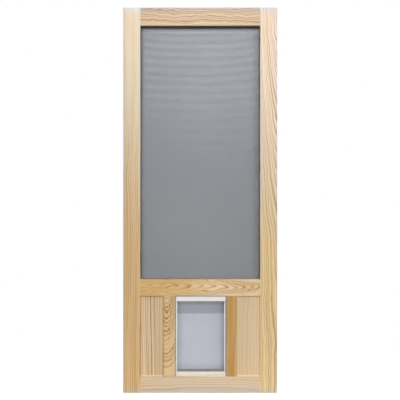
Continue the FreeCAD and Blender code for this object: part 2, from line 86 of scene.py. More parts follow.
class Signal:
    """A shader socket that carries a number, on which Python's operators add Math nodes."""

    def __init__(self, book: "NodeBook", socket: bpy.types.NodeSocket) -> None:
        """Keeps the socket and the node tree that it belongs to."""
        self.book = book
        self.socket = socket

    def _math(self, operation: str, first: "Value", second: "Value" = 0.0) -> "Signal":
        """Adds one Math node to the tree.

        Args:
            operation: The Math node's operation.
            first: A signal or number for the first socket.
            second: A signal or number for the second socket, where the operation has one.

        Returns:
            The node's value.
        """
        return self.book.node("ShaderNodeMath", {"operation": operation}, {0: first, 1: second})

    def __add__(self, other: "Value") -> "Signal":
        """Sum of two values."""
        return self._math("ADD", self, other)

    def __radd__(self, other: float) -> "Signal":
        """Sum with a plain number on the left."""
        return self._math("ADD", other, self)

    def __sub__(self, other: "Value") -> "Signal":
        """Difference of two values."""
        return self._math("SUBTRACT", self, other)

    def __rsub__(self, other: float) -> "Signal":
        """Difference from a plain number."""
        return self._math("SUBTRACT", other, self)

    def __mul__(self, other: "Value") -> "Signal":
        """Product of two values."""
        return self._math("MULTIPLY", self, other)

    def __rmul__(self, other: float) -> "Signal":
        """Product with a plain number on the left."""
        return self._math("MULTIPLY", other, self)

    def __abs__(self) -> "Signal":
        """Size of a value without its sign."""
        return self._math("ABSOLUTE", self)

    def least(self, other: "Value") -> "Signal":
        """Smaller of two values."""
        return self._math("MINIMUM", self, other)

    def most(self, other: "Value") -> "Signal":
        """Larger of two values."""
        return self._math("MAXIMUM", self, other)

    def root(self) -> "Signal":
        """Square root."""
        return self._math("SQRT", self)

    def whole(self) -> "Signal":
        """Largest whole number that isn't above the value."""
        return self._math("FLOOR", self)

    def part(self) -> "Signal":
        """What is left of the value over its whole number."""
        return self._math("FRACT", self)

    def wave(self) -> "Signal":
        """Sine of the value in radians."""
        return self._math("SINE", self)

    def ease(self, start: float, full: float) -> "Signal":
        """Smooth step of the value.

        Args:
            start: Where the step is 0; it may be the larger one of the two.
            full: Where the step is 1.

        Returns:
            The step's height, from 0 to 1.
        """
        return self.book.node(
            "ShaderNodeMapRange",
            {"interpolation_type": "SMOOTHSTEP"},
            {"Value": self, "From Min": start, "From Max": full},
        )


Value = Signal | float
Paint = Signal | Colour


@dataclass(frozen=True)
class Fade:
    """A smooth step of a value, from nothing at one end to its full share at the other."""

    start: float
    full: float
    share: float = 1.0

    def of(self, value: Signal) -> Signal:
        """The share at a value."""
        return value.ease(self.start, self.full) * self.share


@dataclass(frozen=True)
class Relief:
    """Fine bumps: what a height of 1 measures, in metres, and how far the surface's normal follows."""

    depth: float
    strength: float


class MixSocket(IntEnum):
    """The sockets of a Mix node that a mix of colours uses; their names aren't unique."""

    FACTOR = 0
    FIRST = 6
    SECOND = 7
    RESULT = 2


class NodeBook:
    """A node tree, with a method for each way of adding to it."""

    def __init__(self, tree: bpy.types.NodeTree) -> None:
        """Keeps the tree that nodes are added to."""
        self.tree = tree

    def node(
        self,
        kind: str,
        settings: dict[str, Any] | None = None,
        sockets: dict[str | int, Any] | None = None,
        output: str | int = 0,
    ) -> Signal:
        """Adds a node.

        Args:
            kind: The node's type.
            settings: Properties of the node, set before its sockets.
            sockets: Values or signals for its inputs, by name or number.
            output: The output to hand back, by name or number.

        Returns:
            The chosen output.
        """
        made = self.tree.nodes.new(kind)
        for name, value in (settings or {}).items():
            setattr(made, name, value)
        for name, value in (sockets or {}).items():
            self.join(made.inputs[name], value)
        return Signal(self, made.outputs[output])

    def join(self, socket: bpy.types.NodeSocket, value: Any) -> None:
        """Links a signal to a socket, or sets the socket's own value.

        Args:
            socket: The input socket.
            value: A signal, a number, or a tuple for a vector or colour.
        """
        if isinstance(value, Signal):
            self.tree.links.new(value.socket, socket)
        elif isinstance(value, tuple) and socket.type == "RGBA":
            socket.default_value = (*value, 1.0)
        else:
            socket.default_value = value

    def place(self) -> tuple[Signal, Signal, Signal]:
        """The point's place in the piece's own frame.

        Returns:
            Its x, y and z, in metres.
        """
        point = self.node("ShaderNodeTexCoord", output="Object")
        x, y, z = (self.split(point, axis) for axis in Axis)
        return x, y, z

    def facing(self, axis: Axis) -> Signal:
        """How far the surface looks along an axis, from -1 to 1."""
        return self.split(self.node("ShaderNodeNewGeometry", output="Normal"), axis)

    def split(self, vector: Signal, axis: Axis) -> Signal:
        """One of a vector's three values."""
        return self.node("ShaderNodeSeparateXYZ", sockets={0: vector}, output=axis)

    def pack(self, x: Value, y: Value, z: Value) -> Signal:
        """A vector from three values."""
        return self.node("ShaderNodeCombineXYZ", sockets={0: x, 1: y, 2: z})

    def chance(self, number: Signal) -> Signal:
        """A fixed random value from 0 to 1 for each value of a number."""
        return self.node("ShaderNodeTexWhiteNoise", {"noise_dimensions": "1D"}, {"W": number}, "Value")

    def mix(self, factor: Value, first: Paint, second: Paint) -> Signal:
        """A colour between two colours.

        Args:
            factor: 0 for the first colour, 1 for the second.
            first: A colour or a colour signal.
            second: A colour or a colour signal.

        Returns:
            The mixed colour.
        """
        return self.node(
            "ShaderNodeMix",
            {"data_type": "RGBA", "clamp_factor": True},
            {MixSocket.FACTOR: factor, MixSocket.FIRST: first, MixSocket.SECOND: second},
            MixSocket.RESULT,
        )

    def shade(self, colour: Signal, value: Value) -> Signal:
        """A colour made lighter or darker by a factor."""
        return self.node("ShaderNodeVectorMath", {"operation": "SCALE"}, {0: colour, "Scale": value})

    def stain(self, colour: Signal, share: Colour) -> Signal:
        """A colour with each of its channels scaled."""
        return self.node("ShaderNodeVectorMath", {"operation": "MULTIPLY"}, {0: colour, 1: share})

    def bump(self, height: Signal, relief: Relief) -> Signal:
        """A normal tilted by a height.

        Args:
            height: The height, from 0 to 1.
            relief: How deep the bumps are and how strongly they show.

        Returns:
            The normal.
        """
        sockets = {"Height": height, "Distance": relief.depth, "Strength": relief.strength}
        return self.node("ShaderNodeBump", sockets=sockets, output="Normal")


class FinishBook(NodeBook):
    """The node tree of one material, with its main shader."""

    def __init__(self, name: str) -> None:
        """Starts a material that holds only its output and main shader.

        Args:
            name: The material's name.
        """
        self.material = bpy.data.materials.new(name)
        self.material.use_nodes = True
        super().__init__(self.material.node_tree)
        self.shader = next(node for node in self.tree.nodes if node.type == "BSDF_PRINCIPLED")

    def finish(self, **sockets: Any) -> bpy.types.Material:
        """Feeds the main shader and hands back the material.

        Args:
            **sockets: Values or signals by socket name, with underscores for spaces.

        Returns:
            The finished material.
        """
        for name, value in sockets.items():
            self.join(self.shader.inputs[name.replace("_", " ")], value)
        return self.material


@dataclass(frozen=True)
class Mottle:
    """Soft noise from 0 to 1, with its own number of lumps per metre along each of three directions."""

    rate: Point
    layers: float = 2.0
    rough: float = 0.5

    @classmethod
    def even(cls, rate: float, layers: float) -> "Mottle":
        """Noise with the same rate in every direction."""
        return cls((rate, rate, rate), layers)

    def read(self, book: NodeBook, x: Value, y: Value, z: Value, start: Point = (0.0, 0.0, 0.0)) -> Signal:
        """The noise at a point.

        Args:
            book: The material's node tree.
            x: Where the point lies along the first direction, in metres.
            y: Where it lies along the second.
            z: Where it lies along the third.
            start: Where in the noise the pattern begins, so that no two boards are alike.

        Returns:
            The noise value.
        """
        scaled = [place * rate for place, rate in zip((x, y, z), self.rate)]
        moved = [place + first if first else place for place, first in zip(scaled, start)]
        return book.node(
            "ShaderNodeTexNoise",
            {"noise_dimensions": "3D"},
            {"Vector": book.pack(*moved), "Scale": 1.0, "Detail": self.layers, "Roughness": self.rough},
        )


@dataclass(frozen=True)
class Opening:
    """An opening in the leaf, in metres."""

    left: float
    right: float
    foot: float
    head: float

    @classmethod
    def for_screen(cls) -> "Opening":
        """The screen opening, as the stiles and rails leave it."""
        return cls(
            left=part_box("hinge_stile")[1].x,
            right=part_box("latch_stile")[0].x,
            foot=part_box("lock_rail")[1].z,
            head=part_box("top_rail")[0].z,
        )

    @classmethod
    def for_pet_door(cls) -> "Opening":
        """The bay that the pet door's frame fills."""
        return cls(
            left=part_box("pet_frame_hinge_jamb")[0].x,
            right=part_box("pet_frame_latch_jamb")[1].x,
            foot=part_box("pet_frame_sill")[0].z,
            head=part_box("pet_frame_head")[1].z,
        )

    def distance(self, x: Signal, z: Signal) -> Signal:
        """How far a point lies outside the opening, and less than 0 inside it."""
        return (self.left - x).most(x - self.right).most(self.foot - z).most(z - self.head)


class Grain(Enum):
    """Which way a board's fibres run."""

    UPRIGHT = Axis.UP
    LEVEL = Axis.ACROSS


class Edge(Enum):
    """One of a board's two upright edges."""

    HINGE_SIDE = "hinge side"
    LATCH_SIDE = "latch side"


@dataclass(frozen=True)
class EdgeShade:
    """A band along one upright edge of a board: painted shade, or painted light where its share is below 0.
    """

    share: float
    width: float
    edge: Edge = Edge.HINGE_SIDE

    def shade(self, x: Signal, low: float, high: float) -> Signal:
        """The factor that the painted shade or light puts on the wood's lightness.

        Args:
            x: Distance from the leaf's hinge edge.
            low: Where the board begins.
            high: Where the board ends.

        Returns:
            1 away from the edge, changing by the share towards it.
        """
        inward = (x - low) if self.edge is Edge.HINGE_SIDE else (high - x)
        return 1.0 - inward.ease(self.width, 0.0) * self.share


@dataclass(frozen=True)
class GrowthRings:
    """What the rings of all the boards have in common.

    Summer wood comes in over one share of a ring and winter ends it over another. Thin false rings
    run between the lines, and the rings gather in groups, some darker and some fainter.
    """

    summer: Span = (0.40, 0.90)
    winter: Span = (1.0, 0.94)
    faintest: float = 0.4
    uneven: Mottle = Mottle((60.0, 1.0, 1.0), layers=1.0)
    uneven_rings: float = 2.0
    false_rings: float = 3.0
    false_start: float = 0.4
    false_summer: Span = (0.5, 0.95)
    false_strength: float = 0.16
    group_change: float = 0.8
    group_start: float = 3.0
    group_layers: float = 2.0
    group_rough: float = 0.6
    group_dark: Span = (0.30, 0.62)

    def lines(self, book: NodeBook, radius: Signal, pitch: float, seed: float) -> Signal:
        """How far a point lies in summer wood.

        The ring number is the distance from the pith over the pitch, plus a noise on that distance.
        What is left over its whole number is the place in the ring, and each whole number has a
        strength of its own.

        Args:
            book: The material's node tree.
            radius: Distance from the pith line.
            pitch: Width of a ring.
            seed: Where the board's patterns begin.

        Returns:
            The strength of the line there, from 0 to about 1.
        """
        count = radius * (1.0 / pitch) + self.uneven.read(book, radius, seed, 0.0) * self.uneven_rings
        ring = count.part()
        strength = book.chance(count.whole() + seed) * (1.0 - self.faintest) + self.faintest
        false_ring = (count * self.false_rings + self.false_start).part()
        summer = ring.ease(*self.summer) * ring.ease(*self.winter) * strength
        return summer + false_ring.ease(*self.false_summer) * self.false_strength

    def groups(self, book: NodeBook, radius: Signal, along: Signal, width: float, seed: float) -> Signal:
        """How dark the group of rings at a point is, as a noise on the distance from the pith.

        Args:
            book: The material's node tree.
            radius: Distance from the pith line.
            along: Distance along the fibres.
            width: Width of a group.
            seed: Where the board's patterns begin.

        Returns:
            0 for the faintest group and 1 for the darkest.
        """
        noise = Mottle((1.0 / width, 1.0, self.group_change), self.group_layers, self.group_rough)
        return noise.read(book, radius, seed + self.group_start, along)


@dataclass(frozen=True)
class PlanedPine:
    """What the boards have in common apart from their rings: fibres, resin canals and how they shine."""

    drift: Mottle = Mottle((5.0, 5.0, 2.4))
    curl_layers: float = 1.5
    patch: Mottle = Mottle((9.0, 9.0, 2.0))
    patch_span: Span = (0.35, 0.75)
    fibre: Mottle = Mottle((900.0, 900.0, 16.0), layers=3.0, rough=0.65)
    fibre_least: float = 0.87
    fibre_spread: float = 0.26
    canal: Mottle = Mottle((420.0, 420.0, 34.0), layers=1.0)
    canal_line: Fade = Fade(0.62, 0.74, 0.10)
    end_grain: Fade = Fade(0.6, 0.9, 0.22)
    facing_out: Span = (0.2, 0.7)
    facing_up: Span = (0.5, 0.9)
    # Where the painted shade of the screen opening's recess lies, in depth and round its edges.
    reveal_depth: Span = (-0.5 * MILLIMETRE, 4.5 * MILLIMETRE)
    reveal_edge: Span = (-4.5 * MILLIMETRE, 0.0)
    rough: float = 0.40
    fibre_rough: float = 0.12
    late_polish: float = 0.06
    late_height: float = 0.3
    fibre_height: float = 0.7
    relief: Relief = Relief(0.4 * MILLIMETRE, 0.3)
    gloss: float = 0.5


@dataclass(frozen=True)
class PineFinish:
    """Bare planed pine, as growth rings round a pith line that leans through the board.

    The ring number at a point is its distance from the pith line over the ring pitch. Where the pith
    lies far to one side the face shows straight lines; where it lies behind the face and leans, it
    shows pointed arches, and where it bows, long closed eyes.

    Attributes:
        early: Colour of the pale spring wood.
        late: Colour of the dark summer wood.
        grain: Which way the fibres run.
        pith: Where the pith line passes, across the face and towards the back.
        lean: How fast the pith line comes forward along the board.
        slant: How fast it moves sideways along the board.
        bow: How strongly it curves forward away from its crest.
        crest: Where along the board that curve turns.
        pitch: Width of a ring.
        contrast: Strength of the lines.
        bolder: How much stronger the lines get towards the foot, and weaker towards the head.
        group: Width of a group of rings.
        fade: How far the lines of a faint group vanish.
        band: How far the groups differ in tone.
        meander: How far the lines wander.
        curl: How far they ripple.
        curl_size: Width of a ripple.
        streak: Length of a ripple over its width.
        tint: Colour of the heartwood.
        blotch: How strongly the heartwood shows in patches.
        tint_along: Where the heartwood comes in along the board.
        tint_across: Where it comes in across the board.
        margin_greying: How far the margins are greyed.
        greyed_width: Width of those margins.
        end_margin_share: Share of the distance from head or foot that counts, so those margins are wider.
        grey_cast: What greying does to each colour channel.
        ledge_light: How far the faces that look up are painted lighter, as light from above.
        ledge_light_colour: Colour of that painted light.
        painted_shade: How much darker the faces that look into the screen opening are painted, as shade in
            that recess.
        edge_shade: The painted shade or painted light along one upright edge.
        seed: Where the board's patterns begin.
        rings: What its rings share with those of the other boards.
        surface: What its surface shares with that of the other boards.
    """

    early: Colour
    late: Colour
    grain: Grain
    pith: Span
    lean: float = 0.0
    slant: float = 0.0
    bow: float = 0.0
    crest: float = 0.0
    pitch: float = 0.010
    contrast: float = 0.8
    bolder: float = 0.0
    group: float = 0.022
    fade: float = 0.6
    band: float = 0.5
    meander: float = 0.012
    curl: float = 0.0
    curl_size: float = 0.035
    streak: float = 1.25
    tint: Colour = (0.68, 0.45, 0.21)
    blotch: float = 0.3
    tint_along: Fade | None = None
    tint_across: Fade | None = None
    margin_greying: float = 0.9
    greyed_width: float = 0.011
    end_margin_share: float = 0.25
    grey_cast: Colour = (0.86, 0.98, 1.32)
    ledge_light: float = 0.0
    ledge_light_colour: Colour = (0.98, 0.85, 0.56)
    painted_shade: float = 0.0
    edge_shade: EdgeShade | None = None
    seed: float = 0.0
    rings: GrowthRings = GrowthRings()
    surface: PlanedPine = PlanedPine()

    def dress(self, node: str) -> None:
        """Gives a board its own material, cut to its place in the door.

        Args:
            node: The name of the board.
        """
        low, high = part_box(node)
        middle = (low + high) / 2
        book = FinishBook(f"pine_{node}")
        x, y, z = book.place()
        rise = z - middle.z
        side = x - middle.x
        along, across = (rise, side) if self.grain is Grain.UPRIGHT else (side, rise)

        late, group = self.figure(book, along, across, y)
        if self.bolder:
            half_length = (high - middle)[self.grain.value]
            late = late * (1.0 - along * (self.bolder / half_length))
        pine = self.surface
        fibre = pine.fibre.read(book, across, y, along)
        canal = pine.canal.read(book, across, y, along, (0.0, 0.0, self.seed))

        tone = book.mix(self.heartwood(book, along, across, y), self.early, self.tint)
        wood = book.mix(late * self.contrast + (group - NOISE_MEAN) * self.band, tone, self.late)
        # Greyer, bluer margins along the leaf's edges and round its openings.
        wood = book.mix(self.greyed_margins(book, x, z) * self.margin_greying, wood, book.stain(wood, self.grey_cast))
        wood = book.shade(wood, fibre * pine.fibre_spread + pine.fibre_least - pine.canal_line.of(canal))
        wood = book.shade(wood, 1.0 - pine.end_grain.of(abs(book.facing(self.grain.value))))
        # Painted light: faces that look up are made paler, as if lit more from above.
        if self.ledge_light:
            lightening = book.facing(Axis.UP).ease(*pine.facing_up) * self.ledge_light
            wood = book.mix(lightening, wood, self.ledge_light_colour)
        # Painted shade: the faces that look into the screen opening are darkened as the recess's shade.
        if self.painted_shade:
            wood = book.shade(wood, 1.0 - self.reveal(x, y, z, low.y) * self.painted_shade)
        # Painted shade along one edge, as beside a recessed panel; painted light where the share is below
        # 0.
        if self.edge_shade:
            wood = book.shade(wood, self.edge_shade.shade(x, low.x, high.x))
        dress_node(node, book.finish(
            Base_Color=wood,
            Roughness=fibre * pine.fibre_rough + pine.rough - late * pine.late_polish,
            Normal=book.bump(late * pine.late_height + fibre * pine.fibre_height, pine.relief),
            Specular_IOR_Level=pine.gloss,
        ))

    def figure(self, book: NodeBook, along: Signal, across: Signal, depth: Signal) -> tuple[Signal, Signal]:
        """The board's grain lines.

        Args:
            book: The material's node tree.
            along: Distance along the fibres, from the board's middle.
            across: Distance across the face, from the board's middle.
            depth: Distance towards the back, from the middle of the leaf.

        Returns:
            How far the point lies in summer wood, and how dark its group of rings is, both from 0 to 1.
        """
        pine = self.surface
        drift = pine.drift.read(book, across, depth, along, (self.seed, 0.0, 0.0)) - NOISE_MEAN
        rate = 1.0 / self.curl_size
        ripple = Mottle((rate, rate, rate / self.streak), pine.curl_layers)
        curl = ripple.read(book, across, depth, along, (0.0, self.seed, 0.0)) - NOISE_MEAN
        beside = across - self.pith[0] + along * self.slant + drift * self.meander + curl * self.curl
        reach = along - self.crest
        behind = depth - self.pith[1] + along * self.lean + reach * reach * self.bow
        radius = (beside * beside + behind * behind).root()
        lines = self.rings.lines(book, radius, self.pitch, self.seed)
        group = self.rings.groups(book, radius, along, self.group, self.seed)
        return lines * (group.ease(*self.rings.group_dark) * self.fade + (1.0 - self.fade)), group

    def heartwood(self, book: NodeBook, along: Signal, across: Signal, depth: Signal) -> Signal:
        """How far the heartwood's tint shows.

        Args:
            book: The material's node tree.
            along: Distance along the fibres, from the board's middle.
            across: Distance across the face, from the board's middle.
            depth: Distance towards the back, from the middle of the leaf.

        Returns:
            The sum of its patches and of where it comes in along or across the board.
        """
        pine = self.surface
        patch = pine.patch.read(book, across, depth, along, (0.0, 0.0, self.seed))
        shown = patch.ease(*pine.patch_span) * self.blotch
        if self.tint_along:
            shown = shown + self.tint_along.of(along)
        if self.tint_across:
            shown = shown + self.tint_across.of(across)
        return shown

    def greyed_margins(self, book: NodeBook, x: Signal, z: Signal) -> Signal:
        """The greyed margins along the leaf's edges, wider at head and foot, and round its two openings.

        Args:
            book: The material's node tree.
            x: Distance from the hinge edge.
            z: Height.

        Returns:
            1 at those edges of the two faces, falling to 0 over the greyed width.
        """
        low, high = CAD_BOX
        rim = (x - low.x).least(high.x - x).least((z - low.z).least(high.z - z) * self.end_margin_share)
        for hole in (Opening.for_screen(), Opening.for_pet_door()):
            rim = rim.least(hole.distance(x, z))
        on_face = abs(book.facing(Axis.BACK)).ease(*self.surface.facing_out)
        return rim.ease(self.greyed_width, 0.0) * on_face

    def reveal(self, x: Signal, y: Signal, z: Signal, front: float) -> Signal:
        """The faces that look into the screen opening in front of the cloth, where the recess's shade is
        painted.

        Args:
            x: Distance from the hinge edge.
            y: Distance towards the back.
            z: Height.
            front: Where the front face lies.

        Returns:
            1 on those faces, falling to 0 over the rounded edge in front of them.
        """
        hole = Opening.for_screen()
        shown = (y - front).ease(*self.surface.reveal_depth)
        for inside in (x - hole.left, hole.right - x, z - hole.foot, hole.head - z):
            shown = shown * inside.ease(*self.surface.reveal_edge)
        return shown


def dress_node(node: str, material: bpy.types.Material) -> None:
    """Replaces the materials of a CAD node.

    Args:
        node: The node's name.
        material: Its new material.
    """
    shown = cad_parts[node]
    shown.data.materials.clear()
    shown.data.materials.append(material)
    log.info("%s: %s", node, material.name)


@dataclass(frozen=True)
class MouldedPlasticFinish:
    """Satin moulding with faint clouds of handling dirt, and a painted shadow along its upper edge, under
    the rail above.
    """

    name: str = "white_moulding"
    colour: Colour = (0.93, 0.86, 0.80)
    soiled: Colour = (0.76, 0.70, 0.63)
    edge_shade: Fade = Fade(8.0 * MILLIMETRE, 1.0 * MILLIMETRE, 0.85)
    cloud: Mottle = Mottle.even(14.0, layers=3.0)
    soil: Fade = Fade(0.5, 0.85, 0.4)
    pebble: Mottle = Mottle.even(900.0, layers=1.0)
    relief: Relief = Relief(0.15 * MILLIMETRE, 0.3)
    rough: float = 0.30
    rough_spread: float = 0.16
    gloss: float = 0.5

    def material(self, top: float) -> bpy.types.Material:
        """The node material.

        Args:
            top: The height of the moulding's upper edge, where the painted shadow lies.

        Returns:
            The material.
        """
        book = FinishBook(self.name)
        x, y, z = book.place()
        cloud = self.cloud.read(book, x, y, z)
        colour = book.mix(self.soil.of(cloud), self.colour, self.soiled)
        # Painted shadow: darker just below the upper edge, as cast by the rail above.
        return book.finish(
            Base_Color=book.shade(colour, 1.0 - self.edge_shade.of(top - z)),
            Roughness=cloud * self.rough_spread + self.rough,
            Normal=book.bump(self.pebble.read(book, x, y, z), self.relief),
            Specular_IOR_Level=self.gloss,
        )


@dataclass(frozen=True)
class VinylFinish:
    """Milky grey flexible vinyl, darker where it is doubled as a hem, with painted shade under the head and
    towards its edges.
    """

    name: str = "grey_vinyl"
    colour: Colour = (0.53, 0.545, 0.595)
    doubled: Colour = (0.36, 0.36, 0.40)
    # Painted shade under the head, on the roll.
    under_head_shade: Colour = (0.24, 0.235, 0.25)
    hem_soft: float = 5.0 * MILLIMETRE
    roll_rise: Span = (40.0 * MILLIMETRE, 72.0 * MILLIMETRE)
    # Painted shade towards the flap's sides and foot.
    hinge_margin: Fade = Fade(40.0 * MILLIMETRE, 0.0)
    latch_margin: Fade = Fade(110.0 * MILLIMETRE, 20.0 * MILLIMETRE, 0.45)
    latch_rim: Fade = Fade(35.0 * MILLIMETRE, 0.0, 1.25)
    foot_margin: Fade = Fade(60.0 * MILLIMETRE, 0.0, 0.8)
    margin_depth: float = 0.24
    lightness: float = 1.03
    cloud: Mottle = Mottle((11.0, 11.0, 7.0), layers=3.0)
    cloud_share: float = 0.16
    wiped: Mottle = Mottle((70.0, 70.0, 4.0))
    wiped_share: float = 0.07
    scuff: Mottle = Mottle((30.0, 30.0, 240.0))
    rough: float = 0.34
    cloud_rough: float = 0.18
    scuff_rough: float = 0.08
    cloud_height: float = 0.8
    scuff_height: float = 0.2
    relief: Relief = Relief(0.8 * MILLIMETRE, 0.4)
    milkiness: float = 0.25
    milk_depth: float = 4.0 * MILLIMETRE

    def material(self, left: float, right: float, foot: float, hem_foot: float) -> bpy.types.Material:
        """The node material.

        Args:
            left: The flap's left side, in metres.
            right: The flap's right side.
            foot: The flap's foot.
            hem_foot: Where the doubled hem ends.

        Returns:
            The material.
        """
        book = FinishBook(self.name)
        x, y, z = book.place()
        cloud = self.cloud.read(book, x, y, z)
        wiped = self.wiped.read(book, x, y, z)
        scuff = self.scuff.read(book, x, y, z)
        hem = z.ease(hem_foot - self.hem_soft, hem_foot + self.hem_soft)
        # Painted shade: the roll under the head is darkened as the head's shadow.
        roll = (z - hem_foot).ease(*self.roll_rise)
        colour = book.mix(hem, self.colour, book.mix(roll, self.doubled, self.under_head_shade))
        # Painted shade towards the sides and foot, as the jambs and sill shade the flap.
        inward = right - x
        margin = self.hinge_margin.of(x - left) + self.latch_margin.of(inward) + self.latch_rim.of(inward)
        margin = margin + self.foot_margin.of(z - foot)
        uneven = (cloud - NOISE_MEAN) * self.cloud_share + (wiped - NOISE_MEAN) * self.wiped_share
        return book.finish(
            Base_Color=book.shade(colour, self.lightness - margin * self.margin_depth - uneven),
            Roughness=cloud * self.cloud_rough + self.rough + scuff * self.scuff_rough,
            Normal=book.bump(cloud * self.cloud_height + scuff * self.scuff_height, self.relief),
            Subsurface_Weight=self.milkiness,
            Subsurface_Scale=self.milk_depth,
        )


@dataclass(frozen=True)
class ClothFinish:
    """Charcoal coated yarn of the insect screen, in bars a little lighter and darker than each other.

    Painted shade darkens it along its two sides, with a warm cast, less so at the latch side higher up.
    Painted light makes it lighter towards its head, and most of all just below the top rail.
    """

    name: str = "charcoal_yarn"
    colour: Colour = (0.148, 0.156, 0.173)
    dusty: Colour = (0.179, 0.185, 0.201)
    lightening: Mottle = Mottle((6.0, 6.0, 14.0), layers=3.0)
    dust_cover: Fade = Fade(0.4, 0.8, 0.6)
    # Painted shade along the cloth's two sides: its strength, warm cast and widths.
    painted_shade: float = 0.6
    shade_cast: Colour = (1.0, 0.96, 0.80)
    hinge_side_shade: Span = (22.0 * MILLIMETRE, 0.0)
    latch_side_shade: Span = (50.6 * MILLIMETRE, 0.0)
    upper_part: Span = (1.05, 1.85)
    upper_shade_less: float = 0.45
    # Painted light: lighter on the upper cloth and just below the top rail.
    upper_light: float = 0.09
    below_rail: Fade = Fade(40.0 * MILLIMETRE, 16.0 * MILLIMETRE, 0.5)
    close_to_rail: Fade = Fade(18.0 * MILLIMETRE, 10.0 * MILLIMETRE, 0.45)
    bar_height: float = 39.0 * MILLIMETRE
    bar_spread: float = 0.6
    bar_strength: float = 0.12
    bar_sag: float = 26.0 * MILLIMETRE
    bar_tilt: float = 4.0 * MILLIMETRE
    sway: Mottle = Mottle((4.0, 1.0, 5.0), layers=1.0)
    sway_reach: float = 20.0 * MILLIMETRE
    coat: Mottle = Mottle.even(1400.0, layers=1.0)
    rough: float = 0.76
    coat_rough: float = 0.15
    unshaded_polish: float = 0.4
    relief: Relief = Relief(0.1 * MILLIMETRE, 0.3)
    gloss: float = 0.5

    def material(self, hole: Opening) -> bpy.types.Material:
        """The node material.

        Args:
            hole: The opening that the cloth closes.

        Returns:
            The material.
        """
        book = FinishBook(self.name)
        x, y, z = book.place()
        lightening = self.lightening.read(book, x, y, z)
        coat = self.coat.read(book, x, y, z)
        upper = z.ease(*self.upper_part)
        # Painted shade along the sides, standing in for the stiles' shade on the cloth, with a warm cast.
        hinge_side = (x - hole.left).ease(*self.hinge_side_shade) * self.painted_shade
        latch_side = (hole.right - x).ease(*self.latch_side_shade) * (1.0 - upper * self.upper_shade_less)
        unshaded = (1.0 - hinge_side) * (1.0 - latch_side * self.painted_shade)
        # Real dust on the cloth: paler patches where the noise is high.
        colour = book.mix(self.dust_cover.of(lightening), self.colour, self.dusty)
        colour = book.mix((1.0 - unshaded) * (1.0 / self.painted_shade), colour, book.stain(colour, self.shade_cast))
        # Painted light: the cloth is made lighter towards its head and just below the top rail.
        below = hole.head - z
        painted_light = self.below_rail.of(below) + self.close_to_rail.of(below) + 1.0 + upper * self.upper_light
        bars = self.bars(book, hole) * upper * self.bar_strength + 1.0
        return book.finish(
            Base_Color=book.shade(colour, bars * unshaded * painted_light),
            Roughness=coat * self.coat_rough + self.rough - unshaded * self.unshaded_polish,
            Normal=book.bump(coat, self.relief),
            Specular_IOR_Level=self.gloss,
        )

    def bars(self, book: NodeBook, hole: Opening) -> Signal:
        """The bars, as waves up the cloth that sag in the middle and are closest at the head.

        At a distance d below the head, their number is (d - spread d d / 2) over the bar height. The
        distance grows by the sag times the square of the way from the middle to the sides, and by
        the tilt times that way.

        Args:
            book: The material's node tree.
            hole: The opening that the cloth closes.

        Returns:
            A sine of that number, from -1 to 1.
        """
        x, y, z = book.place()
        sway = self.sway.read(book, x, y, z) * self.sway_reach
        reach = (x - (hole.left + hole.right) / 2) * (2 / (hole.right - hole.left))
        drop = hole.head - z + reach * reach * self.bar_sag + reach * self.bar_tilt - sway
        count = (drop - drop * drop * (self.bar_spread / 2)) * (1 / self.bar_height)
        return (count * (2 * math.pi)).wave()


@dataclass(frozen=True)
class RubberFinish:
    """Dark vinyl or rubber with a dull bloom."""

    name: str
    colour: Colour
    bloom: Colour
    cloud: Mottle = Mottle.even(35.0, layers=3.0)
    bloom_cover: Fade = Fade(0.4, 0.8, 0.5)
    grit: Mottle = Mottle.even(1100.0, layers=1.0)
    relief: Relief = Relief(0.1 * MILLIMETRE, 0.4)
    rough: float = 0.5
    rough_spread: float = 0.2

    def material(self) -> bpy.types.Material:
        """The node material.

        Returns:
            The material.
        """
        book = FinishBook(self.name)
        x, y, z = book.place()
        cloud = self.cloud.read(book, x, y, z)
        return book.finish(
            Base_Color=book.mix(self.bloom_cover.of(cloud), self.colour, self.bloom),
            Roughness=cloud * self.rough_spread + self.rough,
            Normal=book.bump(self.grit.read(book, x, y, z), self.relief),
        )


@dataclass(frozen=True)
class DrawnSteelFinish:
    """Bright drawn steel rod with fine lines along its length."""

    name: str = "drawn_steel"
    colour: Colour = (0.55, 0.55, 0.55)
    dull: Colour = (0.38, 0.37, 0.36)
    lines: Mottle = Mottle((12.0, 2600.0, 2600.0), layers=1.0)
    relief: Relief = Relief(0.05 * MILLIMETRE, 0.4)
    rough: float = 0.25
    rough_spread: float = 0.2

    def material(self) -> bpy.types.Material:
        """The node material.

        Returns:
            The material.
        """
        book = FinishBook(self.name)
        lines = self.lines.read(book, *book.place())
        return book.finish(
            Base_Color=book.mix(lines, self.colour, self.dull),
            Roughness=lines * self.rough_spread + self.rough,
            Metallic=1.0,
            Normal=book.bump(lines, self.relief),
        )


def add_mesh(name: str, points: np.ndarray, faces: np.ndarray, smooth: bool = False) -> bpy.types.Object:
    """Makes a mesh object at the origin from arrays.

    Args:
        name: The object's name.
        points: Vertex places in metres, with x, y and z along the last axis.
        faces: Four vertex numbers a row, counter-clockwise from outside.
        smooth: Whether the faces are shaded as one curved surface.

    Returns:
        The new object.
    """
    mesh = bpy.data.meshes.new(name)
    mesh.vertices.add(points.size // 3)
    mesh.vertices.foreach_set("co", points.astype(np.float32).ravel())
    mesh.loops.add(faces.size)
    mesh.loops.foreach_set("vertex_index", faces.astype(np.int32).ravel())
    mesh.polygons.add(len(faces))
    mesh.polygons.foreach_set("loop_start", np.arange(0, faces.size, faces.shape[1], dtype=np.int32))
    mesh.polygons.foreach_set("use_smooth", np.full(len(faces), smooth))
    mesh.update(calc_edges=True)
    mesh.validate()
    piece = bpy.data.objects.new(name, mesh)
    bpy.context.scene.collection.objects.link(piece)
    return piece


